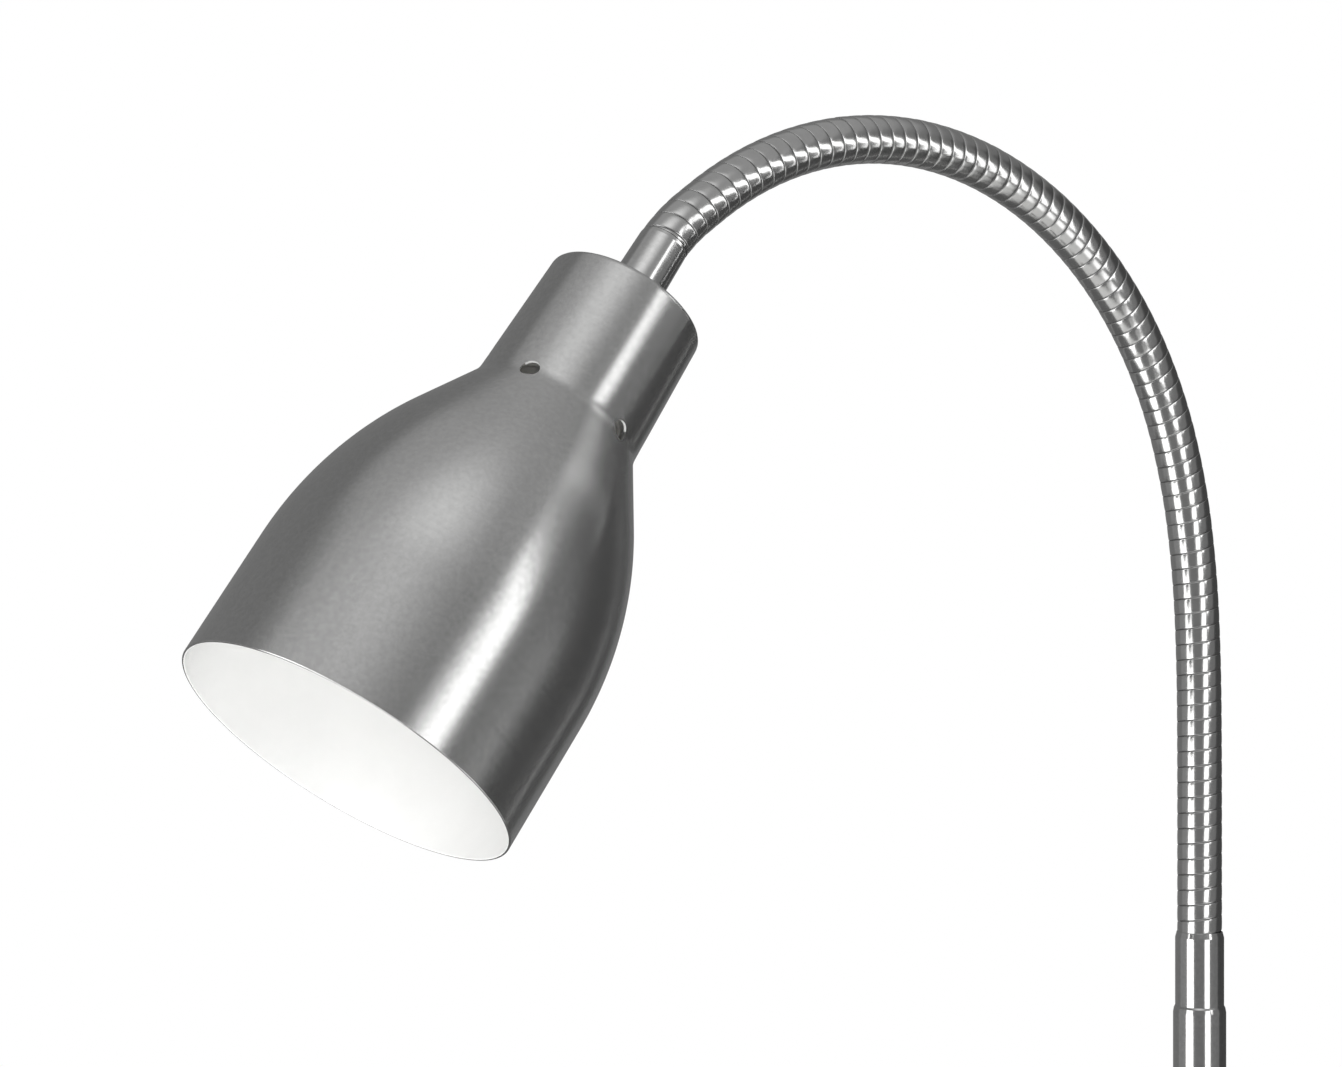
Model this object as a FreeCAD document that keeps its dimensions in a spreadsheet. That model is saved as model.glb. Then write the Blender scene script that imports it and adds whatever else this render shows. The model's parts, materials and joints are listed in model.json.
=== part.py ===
"""Gooseneck reading floor lamp, in millimetres.

The base stands on the floor at z = 0, with the pole's axis on the Z axis. The
neck rises from the pole, arches over towards -X in the XZ plane and carries
the head, whose own axis points down and away from the pole. The neck is a row
of short links, each turning on the next about a point on the neck's axis.
"""
import FreeCAD, Part
import Sketcher
import math
import os
import re
from FreeCAD import Placement, Rotation, Vector

os.makedirs("parts", exist_ok=True)
doc = FreeCAD.newDocument("reading_lamp")

# ---------------------------------------------------------------- sizes
# Every size that can be set by itself. Those that other sizes fix are worked
# out from these, either in an expression below or in the sub-part itself.
SIZES = {
    "base": {
        "base_od": 240,
        "base_skin": 1,
        "base_shoulder": 6,
        "base_rim_lift": 1,
        "pad_thick": 3,
        "pad_gap": 0.5,
        "weight_thick": 15,
        "weight_margin": 2,
        "recess_od": 34,
        "recess_deep": 9,
        "channel_wide": 9,
        "channel_deep": 8,
        "grommet_od": 7.6,
        "grommet_bore": 5.2,
        "grommet_lip": 1.2,
        "grommet_lip_od": 10,
        "grommet_tail": 5,
    },
    "thread tube": {
        "nipple_od": 10,
        "nipple_bore": 7,
        "nipple_fit": 0.05,
        "nipple_hole_gap": 0.2,
        "nipple_tail": 2,
        "nut_across": 14,
        "nut_thick": 4,
        "washer_od": 24,
        "washer_thick": 1.5,
    },
    "pole": {
        "pole_od": 19,
        "pole_wall": 0.7,
        "pole_top": 1150,
        "pole_sections": 3,
        "pole_edge": 0.3,
        "plug_fit": 0.05,
        "foot_od": 38,
        "foot_thick": 5,
        "foot_edge": 1.5,
        "foot_spigot": 28,
        "joint_long": 60,
        "joint_bore": 8,
        "lead_od": 4,
        "lead_gap": 0.45,
    },
    "neck": {
        "sleeve_od": 17.5,
        "sleeve_show": 26.7,
        "sleeve_plug": 40,
        "sleeve_bevel": 2.1,
        "neck_od": 16,
        "neck_bore": 11,
        "link_count": 14,
        "neck_long": 466,
        "ball_radius": 9,
        "ball_gap": 0.3,
        "turn_count": 6,
        "turn_groove": 0.5,
        "turn_groove_wide": 0.9,
        "neck_turn": 142.4,
        "bend_from": 1.3,
        "bend_ease": 5.5,
        "head_bend": 1.34,
    },
    "head": {
        "ferrule_show": 26.1,
        "ferrule_start_od": 15,
        "ferrule_step": 1.2,
        "ferrule_mid_od": 16,
        "ferrule_end_od": 17.2,
        "ferrule_grip": 12,
        "shade_high": 170,
        "shade_skin": 0.9,
        "shade_rim_od": 110,
        "shade_band": 43,
        "shade_bell_radius": 122.6,
        "shade_bell_turn": 29.3,
        "shade_neck_low_od": 55.2,
        "shade_neck_top_od": 52,
        "shade_top_round": 3,
        "vent_od": 6,
        "vent_count": 5,
        "vent_angle": -29.8,
    },
    "lampholder": {
        "cap_od": 39,
        "cap_wall": 2,
        "cap_deep": 17,
        "cap_shoulder": 6,
        "skirt_long": 36,
        "skirt_wall": 2,
        "skirt_ring": 1.5,
        "shell_wall": 0.4,
        "shell_gap": 0.3,
        "shell_long": 23,
        "core_thick": 7,
        "core_fit": 0.05,
        "core_hole": 5.4,
        "tongue_wide": 6,
        "tongue_thick": 0.6,
        "tongue_long": 17,
        "tongue_foot": 3,
        "tongue_crown": 6,
        "tongue_rise": 1.6,
        "screw_od": 5,
        "screw_high": 2.6,
        "screw_spread": 18,
    },
    "bulb": {
        "thread_od": 26,
        "thread_depth": 0.6,
        "thread_pitch": 3.5,
        "thread_turns": 5,
        "bulb_cap_long": 23,
        "bulb_cap_wall": 0.3,
        "bulb_seat_gap": 0.3,
        "contact_od": 9.5,
        "contact_thick": 1.2,
        "glass_thick": 2.4,
        "glass_od": 18,
        "housing_long": 36,
        "housing_neck_od": 27,
        "housing_wall": 1.5,
        "bulb_od": 60,
        "bulb_long": 107,
        "diffuser_wall": 1.2,
    },
}


def write_sheet():
    """The size sheet: a name, its number and its group in each row."""
    sheet = doc.addObject("Spreadsheet::Sheet", "sizes")
    row = 1
    for group, values in SIZES.items():
        for name, value in values.items():
            sheet.set("A%d" % row, name)
            sheet.set("B%d" % row, str(value))
            sheet.set("C%d" % row, group)
            sheet.setAlias("B%d" % row, name)
            row += 1
    doc.recompute()
    return sheet


sheet = write_sheet()
NAMES = {name for values in SIZES.values() for name in values}


def linked(expression):
    """The expression with each size's name pointed at the sheet."""
    return re.sub(r"[a-z]\w*", lambda word: "sizes." + word[0] if word[0] in NAMES else word[0],
                  str(expression))


def size(expression):
    """The number that an expression in the sizes' names gives."""
    return float(sheet.evalExpression(linked(expression)))


# ---------------------------------------------------------------- heights and lengths that follow
WEIGHT_TOP = "(pad_thick + weight_thick)"
BASE_TOP = "(pad_thick + weight_thick + base_skin)"
CHANNEL_MID = "(pad_thick + channel_deep/2)"
FOOT_TOP = "(pad_thick + weight_thick + base_skin + foot_thick)"
POLE_BORE = "(pole_od - 2*pole_wall)"
PLUG_OD = "(pole_od - 2*pole_wall - 2*plug_fit)"
NIPPLE_HOLE = "(nipple_od + 2*nipple_hole_gap)"
LINK_LONG = "(neck_long/link_count)"
# Where the ball's sphere meets the neck's outside, above the ball's centre, and
# the same for the cup that covers it.
BALL_EDGE = "sqrt(ball_radius^2 - (neck_od/2)^2)"
BALL_BORE_EDGE = "sqrt(ball_radius^2 - (neck_bore/2)^2)"
CUP_RADIUS = "(ball_radius + ball_gap)"
CUP_EDGE = "sqrt((ball_radius + ball_gap)^2 - (neck_od/2)^2)"
CUP_BORE_EDGE = "sqrt((ball_radius + ball_gap)^2 - (neck_bore/2)^2)"
# Depths along the head's axis, from the centre of the head's own hinge.
SHADE_TOP = "(%s + ferrule_show)" % CUP_EDGE
WASHER_LOW = "(%s + shade_skin)" % SHADE_TOP
NUT_LOW = "(%s + washer_thick)" % WASHER_LOW
CAP_LOW = "(%s + nut_thick)" % NUT_LOW
CORE_LOW = "(%s + cap_deep - core_thick/2)" % CAP_LOW
CORE_TOP = "(%s + core_thick)" % CORE_LOW
SHELL_BORE = "(thread_od + 2*shell_gap)"
CONTACT_LOW = "(%s + tongue_rise + tongue_thick + bulb_seat_gap)" % CORE_TOP
GLASS_LOW = "(%s + contact_thick)" % CONTACT_LOW
BULB_CAP_LOW = "(%s + glass_thick)" % GLASS_LOW
BULB_CAP_TOP = "(%s + bulb_cap_long)" % BULB_CAP_LOW
BULB_END = "(%s + bulb_long)" % CONTACT_LOW
HOUSING_TOP = "(%s + housing_long)" % BULB_CAP_TOP
DOME_MIDDLE = "(%s - bulb_od/2)" % BULB_END
DOME_EDGE = "sqrt((bulb_od/2)^2 - (%s - %s)^2)" % (DOME_MIDDLE, HOUSING_TOP)
DOME_EDGE_IN = "sqrt((bulb_od/2 - diffuser_wall)^2 - (%s - %s)^2)" % (DOME_MIDDLE, HOUSING_TOP)

NECK_START = size("pole_top + sleeve_show - " + BALL_EDGE)


# ---------------------------------------------------------------- drawing helpers
def origin_plane(body, role):
    """One of the planes or axes that the body stands on."""
    for feature in body.Origin.OriginFeatures:
        if feature.Role == role:
            return feature
    raise ValueError(role)


def new_body(label, place=None):
    """A body of that name, at its place."""
    body = doc.addObject("PartDesign::Body", label)
    body.Label = label
    if place is not None:
        body.Placement = place
    return body


def new_sketch(body, role, name):
    """A sketch flat on one of the body's planes."""
    sketch = body.newObject("Sketcher::SketchObject", name)
    sketch.AttachmentSupport = [(origin_plane(body, role), "")]
    sketch.MapMode = "FlatFace"
    return sketch


def bow(start, end, radius):
    """The middle of the smaller arc from start to end. A positive radius bows to the left of the way."""
    chord = end - start
    half = chord.Length/2
    left = Vector(-chord.y, chord.x, 0).normalize()
    rise = abs(radius) - math.sqrt(max(radius**2 - half**2, 0))
    return (start + end)*0.5 + left*math.copysign(rise, radius)


def pin_point(sketch, edge, end, across, up):
    """Hold one end of an edge at its two distances from the sketch's origin."""
    origin, axes = -1, {"DistanceX": -2, "DistanceY": -1}
    for kind, expression in (("DistanceX", across), ("DistanceY", up)):
        value = size(expression)
        if abs(value) < 1e-9:
            sketch.addConstraint(Sketcher.Constraint("PointOnObject", edge, end, axes[kind]))
            continue
        index = sketch.addConstraint(Sketcher.Constraint(kind, origin, 1, edge, end, value))
        sketch.setExpression("Constraints[%d]" % index, linked(expression))


def draw_outline(sketch, outline):
    """A closed outline of points (across, up). A third entry bends the edge that follows into an arc."""
    points = [Vector(size(point[0]), size(point[1]), 0) for point in outline]
    edges = []
    for index, point in enumerate(outline):
        start, end = points[index], points[(index + 1) % len(points)]
        if len(point) == 3:
            middle = bow(start, end, size(point[2]))
            edge = sketch.addGeometry(Part.Arc(start, middle, end), False)
            first = 1 if sketch.getPoint(edge, 1).distanceToPoint(start) < 1e-4 else 2
        else:
            edge = sketch.addGeometry(Part.LineSegment(start, end), False)
            first = 1
        edges.append((edge, first))
    for index, (edge, first) in enumerate(edges):
        following, its_first = edges[(index + 1) % len(edges)]
        sketch.addConstraint(Sketcher.Constraint("Coincident", edge, 3 - first, following, its_first))
    for (edge, first), point in zip(edges, outline):
        pin_point(sketch, edge, first, point[0], point[1])
        if len(point) == 3:
            radius = sketch.addConstraint(Sketcher.Constraint("Radius", edge, abs(size(point[2]))))
            sketch.setExpression("Constraints[%d]" % radius, linked("abs(%s)" % point[2]))


def revolve(body, kind, sketch):
    """Turn a sketch about the body's own Z axis, as a Revolution or a Groove."""
    feature = body.newObject("PartDesign::" + kind, kind.lower())
    feature.Profile = sketch
    feature.ReferenceAxis = (sketch, ["V_Axis"])
    feature.Angle = 360
    return feature


def turned(label, outline, place=None):
    """A body turned from one outline of (radius, height) points."""
    body = new_body(label, place)
    sketch = new_sketch(body, "XZ_Plane", "outline")
    draw_outline(sketch, outline)
    revolve(body, "Revolution", sketch)
    return body


def ring_outline(outer, inner, low, high):
    """A plain ring's four corners."""
    return [(inner, low), (outer, low), (outer, high), (inner, high)]


def bevelled_ring(outer, inner, low, high, bevel):
    """A ring whose two outer edges are bevelled."""
    edge = "(%s - %s)" % (outer, bevel)
    return [(inner, low), (edge, low), (outer, "%s + %s" % (low, bevel)),
            (outer, "%s - %s" % (high, bevel)), (edge, high), (inner, high)]


def bind(item, **expressions):
    """Tie an object's properties to expressions in the sizes' names."""
    for name, expression in expressions.items():
        item.setExpression(name, linked(expression))
    return item


def cylinder(name, radius, height, place=None):
    """A plain cylinder standing on its own origin."""
    item = bind(doc.addObject("Part::Cylinder", name), Radius=radius, Height=height)
    if place is not None:
        item.Placement = place
    return item


def cut(label, solid, tool):
    """One solid less another."""
    item = doc.addObject("Part::Cut", label)
    item.Label = label
    item.Base = solid
    item.Tool = tool
    return item


def group(label, solids):
    """Several separate solids kept under one name."""
    item = doc.addObject("Part::Compound", label)
    item.Label = label
    item.Links = solids
    return item


def along(place, depth):
    """A place moved along its own Z axis."""
    return place*Placement(Vector(0, 0, depth), Rotation())


# ---------------------------------------------------------------- the neck's run
def bend_shares():
    """How much of the neck's whole turn each hinge takes: none low down, then an even bend.
    The last hinge, under the head's weight, bends a little more."""
    shares = []
    for hinge in range(int(size("link_count")) + 1):
        part = min(max((hinge - size("bend_from"))/size("bend_ease"), 0), 1)
        shares.append(part*part*(3 - 2*part))
    shares[-1] *= size("head_bend")
    total = sum(shares)
    return [share/total for share in shares]


def neck_places():
    """The place of each link's hinge, its Z axis along the link, and last that of the head."""
    places = []
    point, turn = Vector(0, 0, NECK_START), 0
    for share in bend_shares():
        turn += share*size("neck_turn")
        place = Placement(point, Rotation(Vector(0, 1, 0), -turn))
        places.append(place)
        point = along(place, size(LINK_LONG)).Base
    return places


PLACES = neck_places()
HEAD = PLACES[-1]


# ---------------------------------------------------------------- base
def base_cover():
    """Spun shell with a rounded shoulder. Its side wall has the cord's hole, at the back."""
    half, skin = "base_od/2", "base_skin"
    inner = "(base_od/2 - base_skin)"
    shoulder_low = "(%s - base_shoulder)" % BASE_TOP
    outline = [
        (NIPPLE_HOLE + "/2", WEIGHT_TOP),
        (half + " - base_shoulder", WEIGHT_TOP, "base_shoulder - base_skin"),
        (inner, shoulder_low),
        (inner, "base_rim_lift"),
        (half, "base_rim_lift"),
        (half, shoulder_low, "-base_shoulder"),
        (half + " - base_shoulder", BASE_TOP),
        (NIPPLE_HOLE + "/2", BASE_TOP),
    ]
    body = turned("base_cover_shell", outline)
    outside = Vector(size(inner) - size(skin), 0, size(CHANNEL_MID))
    sideways = Placement(outside, Rotation(Vector(0, 1, 0), 90))
    hole = cylinder("cord_hole", "grommet_od/2", "3*base_skin", sideways)
    return cut("base_cover", body, hole)


def base_weight():
    """Cast disc with the nut's recess under its middle and a channel for the cord to the back."""
    edge = "(base_od/2 - base_shoulder - weight_margin)"
    outline = [
        ("recess_od/2", "pad_thick"),
        (edge, "pad_thick"),
        (edge, WEIGHT_TOP),
        (NIPPLE_HOLE + "/2", WEIGHT_TOP),
        (NIPPLE_HOLE + "/2", "pad_thick + recess_deep"),
        ("recess_od/2", "pad_thick + recess_deep"),
    ]
    body = turned("base_weight_disc", outline)
    start = Vector(size("nipple_od/2"), -size("channel_wide/2"), size("pad_thick"))
    channel = bind(doc.addObject("Part::Box", "cord_channel"), Length="base_od/2", Width="channel_wide",
                   Height="channel_deep")
    channel.Placement = Placement(start, Rotation())
    return cut("base_weight", body, channel)


def base_pad():
    """Soft disc over the whole underside: its lower face is what rests on the floor."""
    return turned("base_pad", [("0", "0"), ("base_od/2 - base_skin - pad_gap", "0"),
                               ("base_od/2 - base_skin - pad_gap", "pad_thick"), ("0", "pad_thick")])


def base_grommet():
    """Bush in the cover's cord hole, with a lip outside. Its axis lies along +X."""
    bore, neck = "grommet_bore/2", "grommet_od/2"
    outline = [
        (bore, "-grommet_tail"),
        (neck, "-grommet_tail"),
        (neck, "0"),
        ("grommet_lip_od/2", "0"),
        ("grommet_lip_od/2", "grommet_lip"),
        (bore, "grommet_lip"),
    ]
    place = Placement(Vector(size("base_od/2"), 0, size(CHANNEL_MID)), Rotation(Vector(0, 1, 0), 90))
    return turned("cord_grommet", outline, place)


def hex_nut(label, place):
    """Six-sided nut with its hole."""
    prism = bind(doc.addObject("Part::Prism", label + "_blank"), Circumradius="nut_across/2/cos(30)",
                 Height="nut_thick")
    prism.Polygon = 6
    prism.Placement = place
    hole = cylinder(label + "_hole", "nipple_od/2 + nipple_fit", "nut_thick", place)
    return cut(label, prism, hole)


def base_fixing():
    """The hollow threaded tube that ties pole foot, cover and weight, with its washer and nut."""
    washer_top = "(pad_thick + recess_deep)"
    nut_low = size(washer_top + " - washer_thick - nut_thick")
    tube = ring_outline("nipple_od/2", "nipple_bore/2",
                        washer_top + " - washer_thick - nut_thick - nipple_tail", FOOT_TOP + " + foot_spigot/2")
    washer = ring_outline("washer_od/2", NIPPLE_HOLE + "/2", washer_top + " - washer_thick", washer_top)
    return [turned("base_nipple", tube), turned("base_washer", washer),
            hex_nut("base_nut", Placement(Vector(0, 0, nut_low), Rotation()))]


# ---------------------------------------------------------------- pole
def pole_foot():
    """Turned collar on the cover, with a spigot up into the pole and a threaded bore."""
    bore = "(nipple_od/2 + nipple_fit)"
    outline = [
        (bore, BASE_TOP),
        ("foot_od/2", BASE_TOP),
        ("foot_od/2", FOOT_TOP + " - foot_edge"),
        ("foot_od/2 - foot_edge", FOOT_TOP),
        (PLUG_OD + "/2", FOOT_TOP),
        (PLUG_OD + "/2", FOOT_TOP + " + foot_spigot"),
        (bore, FOOT_TOP + " + foot_spigot"),
    ]
    return turned("pole_foot", outline)


def section_height(index):
    """Where one pole section ends and the next starts."""
    return "(%s + (pole_top - %s)*%d/pole_sections)" % (FOOT_TOP, FOOT_TOP, index)


def pole_tubes():
    """The pole's sections, one on another."""
    tubes = []
    for index in range(int(size("pole_sections"))):
        low, top = section_height(index), section_height(index + 1)
        outline = bevelled_ring("pole_od/2", POLE_BORE + "/2", low, top, "pole_edge")
        tubes.append(turned("pole_section_%d" % (index + 1), outline))
    return tubes


def pole_joints():
    """The plugs inside the pole, one at each meeting of two sections."""
    plugs = []
    for index in range(1, int(size("pole_sections"))):
        middle = section_height(index)
        outline = ring_outline(PLUG_OD + "/2", "joint_bore/2",
                               middle + " - joint_long/2", middle + " + joint_long/2")
        plugs.append(turned("pole_joint_%d" % index, outline))
    return group("pole_joints", plugs)


def pole_lead():
    """The lead inside the pole, from the base's recess up to the neck."""
    low = Placement(Vector(0, 0, size("pad_thick")), Rotation())
    length = "pole_top + sleeve_show - %s - lead_gap - pad_thick" % BALL_EDGE
    return cylinder("pole_lead", "lead_od/2", length, low)


def neck_sleeve():
    """Tube plugged into the pole's top. Its own top is the first ball, which the neck turns on."""
    ball = "(pole_top + sleeve_show - %s)" % BALL_EDGE
    bevel_low = "(pole_top + sleeve_show - sleeve_bevel)"
    outline = [
        ("neck_bore/2", "pole_top - sleeve_plug"),
        ("sleeve_od/2", "pole_top - sleeve_plug"),
        ("sleeve_od/2", bevel_low),
        ("neck_od/2", "pole_top + sleeve_show", "-ball_radius"),
        ("neck_bore/2", ball + " + " + BALL_BORE_EDGE),
    ]
    return turned("neck_sleeve", outline)


# ---------------------------------------------------------------- neck
def neck_link(index, place):
    """One stretch of the neck: a cup below, turns of strip marked by grooves, a ball above."""
    bore, out = "neck_bore/2", "neck_od/2"
    outline = [
        (bore, CUP_BORE_EDGE, CUP_RADIUS),
        (out, CUP_EDGE),
        (out, "%s + %s" % (LINK_LONG, BALL_EDGE), "-ball_radius"),
        (bore, "%s + %s" % (LINK_LONG, BALL_BORE_EDGE)),
    ]
    body = turned("neck_link_%02d" % index, outline, place)
    pitch = "%s/turn_count" % LINK_LONG
    middle = "((%s + %s)/2 + %s)" % (CUP_EDGE, BALL_EDGE, pitch)
    groove = new_sketch(body, "XZ_Plane", "turn_groove_outline")
    draw_outline(groove, [
        (out + " - turn_groove", middle),
        (out + " + turn_groove", middle + " - turn_groove_wide"),
        (out + " + turn_groove", middle + " + turn_groove_wide"),
    ])
    notch = revolve(body, "Groove", groove)
    pattern = body.newObject("PartDesign::LinearPattern", "turns")
    pattern.Originals = [notch]
    pattern.Direction = (origin_plane(body, "Z_Axis"), [""])
    count = int(size("turn_count")) - 1
    pattern.Occurrences = count
    pattern.setExpression("Length", linked("%s*%d" % (pitch, count - 1)))
    body.Tip = pattern
    return body


def neck_lead(index, place):
    """The lead's stretch inside one link."""
    start = along(place, size("lead_gap"))
    return cylinder("neck_lead_%02d" % index, "lead_od/2", LINK_LONG + " - 2*lead_gap", start)


def neck():
    """All the links, and the lead in them."""
    links = [neck_link(index + 1, place) for index, place in enumerate(PLACES[:-1])]
    leads = [neck_lead(index + 1, place) for index, place in enumerate(PLACES[:-1])]
    return links + leads


# ---------------------------------------------------------------- head
def head_ferrule():
    """Smooth tapered end piece between the neck and the shade, with a cup for the last ball."""
    start_edge = "sqrt(%s^2 - (ferrule_start_od/2)^2)" % CUP_RADIUS
    grip = "(nipple_od/2 + nipple_fit)"
    outline = [
        ("neck_bore/2", CUP_BORE_EDGE, CUP_RADIUS),
        ("ferrule_start_od/2", start_edge),
        ("ferrule_mid_od/2", start_edge + " + ferrule_step"),
        ("ferrule_end_od/2", SHADE_TOP),
        (grip, SHADE_TOP),
        (grip, SHADE_TOP + " - ferrule_grip"),
        ("neck_bore/2", SHADE_TOP + " - ferrule_grip"),
    ]
    return turned("head_ferrule", outline, HEAD)


def shade_shell():
    """Spun bell: a nearly straight band at the rim, a round shoulder, then a narrow neck with vents."""
    rim, skin = "shade_rim_od/2", "shade_skin"
    band_end = "(%s + shade_high - shade_band)" % SHADE_TOP
    bell_radius_low = "(shade_rim_od/2 - shade_bell_radius*(1 - cos(shade_bell_turn)))"
    bell_low = "(%s - shade_bell_radius*sin(shade_bell_turn))" % band_end
    crease = "(%s - (%s - shade_neck_low_od/2)/tan(shade_bell_turn))" % (bell_low, bell_radius_low)
    top_out = "shade_neck_top_od/2"
    outline = [
        (NIPPLE_HOLE + "/2", SHADE_TOP),
        (top_out + " - shade_top_round", SHADE_TOP, "-shade_top_round"),
        (top_out, SHADE_TOP + " + shade_top_round"),
        ("shade_neck_low_od/2", crease),
        (bell_radius_low, bell_low, "-shade_bell_radius"),
        (rim, band_end),
        (rim, "%s + shade_high" % SHADE_TOP),
        (rim + " - shade_skin", "%s + shade_high" % SHADE_TOP),
        (rim + " - shade_skin", band_end, "shade_bell_radius"),
        (bell_radius_low + " - shade_skin", bell_low),
        ("shade_neck_low_od/2 - shade_skin", crease),
        (top_out + " - shade_skin", SHADE_TOP + " + shade_top_round", "shade_top_round - shade_skin"),
        (top_out + " - shade_top_round", WASHER_LOW),
        (NIPPLE_HOLE + "/2", WASHER_LOW),
    ]
    facing = Rotation(Vector(0, 0, 1), size("vent_angle") - 90)
    body = turned("shade_shell", outline, HEAD*Placement(Vector(), facing))
    pierce_vents(body, crease)
    return body


def pierce_vents(body, crease):
    """Round holes where the shade's neck meets the bell: one towards the body's own +Y, then evenly round."""
    sketch = new_sketch(body, "XZ_Plane", "vent_outline")
    hole = Part.Circle(Vector(0, size(crease), 0), Vector(0, 0, 1), size("vent_od/2"))
    circle = sketch.addGeometry(hole, False)
    pin_point(sketch, circle, 3, "0", crease)
    radius = sketch.addConstraint(Sketcher.Constraint("Radius", circle, size("vent_od/2")))
    sketch.setExpression("Constraints[%d]" % radius, linked("vent_od/2"))
    vent = body.newObject("PartDesign::Pocket", "vent")
    vent.Profile = sketch
    vent.setExpression("Length", linked("shade_rim_od/2"))
    pattern = body.newObject("PartDesign::PolarPattern", "vents")
    pattern.Originals = [vent]
    pattern.Axis = (origin_plane(body, "Z_Axis"), [""])
    pattern.Angle = 360
    pattern.setExpression("Occurrences", linked("vent_count"))
    body.Tip = pattern


def head_fixing():
    """The threaded tube through the shade's top, with the washer and the nut that hold the shade."""
    tube = ring_outline("nipple_od/2", "nipple_bore/2",
                        SHADE_TOP + " - ferrule_grip", CAP_LOW + " + cap_wall")
    washer = ring_outline("washer_od/2", NIPPLE_HOLE + "/2", WASHER_LOW, NUT_LOW)
    return [turned("shade_nipple", tube, HEAD), turned("shade_washer", washer, HEAD),
            hex_nut("shade_nut", along(HEAD, size(NUT_LOW)))]


# ---------------------------------------------------------------- lampholder
def lampholder_cap():
    """Domed cap, screwed onto the threaded tube by the hole in its end."""
    out, wall = "cap_od/2", "cap_wall"
    outline = [
        ("nipple_od/2 + nipple_fit", CAP_LOW),
        (out + " - cap_shoulder", CAP_LOW, "-cap_shoulder"),
        (out, CAP_LOW + " + cap_shoulder"),
        (out, CAP_LOW + " + cap_deep"),
        (out + " - cap_wall", CAP_LOW + " + cap_deep"),
        (out + " - cap_wall", CAP_LOW + " + cap_shoulder", "cap_shoulder - cap_wall"),
        (out + " - cap_shoulder", CAP_LOW + " + cap_wall"),
        ("nipple_od/2 + nipple_fit", CAP_LOW + " + cap_wall"),
    ]
    return turned("lampholder_cap", outline, HEAD)


def lampholder_skirt():
    """Straight sleeve round the screw shell, with a ring where it meets the cap."""
    low = "(%s + cap_deep)" % CAP_LOW
    outline = bevelled_ring("cap_od/2", "cap_od/2 - skirt_wall", low, low + " + skirt_long", "skirt_ring/2")
    return turned("lampholder_skirt", outline, HEAD)


def lampholder_core():
    """Insulating disc that stands across the joint of cap and skirt and carries the live parts."""
    out = "(cap_od/2 - cap_wall - core_fit)"
    return turned("lampholder_core", ring_outline(out, "core_hole/2", CORE_LOW, CORE_TOP), HEAD)


def lampholder_screw_shell():
    """Thin threaded shell that the bulb's cap runs in, standing on the core."""
    outline = [
        (SHELL_BORE + "/2", CORE_TOP),
        ("cap_od/2 - skirt_wall - core_fit", CORE_TOP),
        ("cap_od/2 - skirt_wall - core_fit", CORE_TOP + " + 2*shell_wall"),
        (SHELL_BORE + "/2 + shell_wall", CORE_TOP + " + 2*shell_wall"),
        (SHELL_BORE + "/2 + shell_wall", CORE_TOP + " + shell_long"),
        (SHELL_BORE + "/2", CORE_TOP + " + shell_long"),
    ]
    return turned("lampholder_screw_shell", outline, HEAD)


def lampholder_contact():
    """Springy strip with both feet on the core. Its raised middle meets the bulb's tip."""
    body = new_body("lampholder_contact", HEAD)
    sketch = new_sketch(body, "XZ_Plane", "outline")
    under = [("tongue_long/2", CORE_TOP), ("tongue_long/2 - tongue_foot", CORE_TOP),
             ("tongue_crown/2", CORE_TOP + " + tongue_rise")]
    over = [(across, up + " + tongue_thick") for across, up in reversed(under)]
    half = under + [("-(%s)" % across, up) for across, up in reversed(under)]
    draw_outline(sketch, half + [("-(%s)" % across, up) for across, up in reversed(over)] + over)
    strip = body.newObject("PartDesign::Pad", "strip")
    strip.Profile = sketch
    strip.setExpression("Length", linked("tongue_wide"))
    strip.Midplane = True
    return body


def head_lead():
    """The lead from the neck's end, through the threaded tube, to the lampholder's core."""
    return cylinder("head_lead", "lead_od/2", CORE_LOW + " - lead_gap", along(HEAD, size("lead_gap")))


def terminal_screws():
    """The two screws that clamp the lead's cores, under the core."""
    screws = []
    for side in (-1, 1):
        foot = Vector(side*size("screw_spread/2"), 0, size(CORE_LOW + " - screw_high"))
        place = HEAD*Placement(foot, Rotation())
        screws.append(cylinder("terminal_screw_%d" % (side + 2), "screw_od/2", "screw_high", place))
    return group("lampholder_screws", screws)


# ---------------------------------------------------------------- bulb
def bulb_cap():
    """Screw cap: a thin shell with rounded turns."""
    outer = [("thread_od/2 - thread_depth", BULB_CAP_LOW)]
    for turn in range(int(size("thread_turns"))):
        low = "%s + thread_pitch*%d" % (BULB_CAP_LOW, turn)
        outer.append(("thread_od/2", "%s + thread_pitch/2" % low))
        outer.append(("thread_od/2 - thread_depth", "%s + thread_pitch" % low))
    outer.append(("thread_od/2 - thread_depth", BULB_CAP_TOP))
    inner = "thread_od/2 - thread_depth - bulb_cap_wall"
    return turned("bulb_cap", [(inner, BULB_CAP_LOW)] + outer + [(inner, BULB_CAP_TOP)], HEAD)


def bulb_tip():
    """The insulating glass under the cap and the round contact in its middle."""
    glass = [
        ("0", GLASS_LOW),
        ("contact_od/2", GLASS_LOW),
        ("glass_od/2", GLASS_LOW + " + glass_thick/2"),
        ("thread_od/2 - thread_depth", BULB_CAP_LOW),
        ("0", BULB_CAP_LOW),
    ]
    contact = [
        ("0", CONTACT_LOW),
        ("contact_od/4", CONTACT_LOW),
        ("contact_od/2", GLASS_LOW),
        ("0", GLASS_LOW),
    ]
    return [turned("bulb_insulator", glass, HEAD), turned("bulb_contact", contact, HEAD)]


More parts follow.
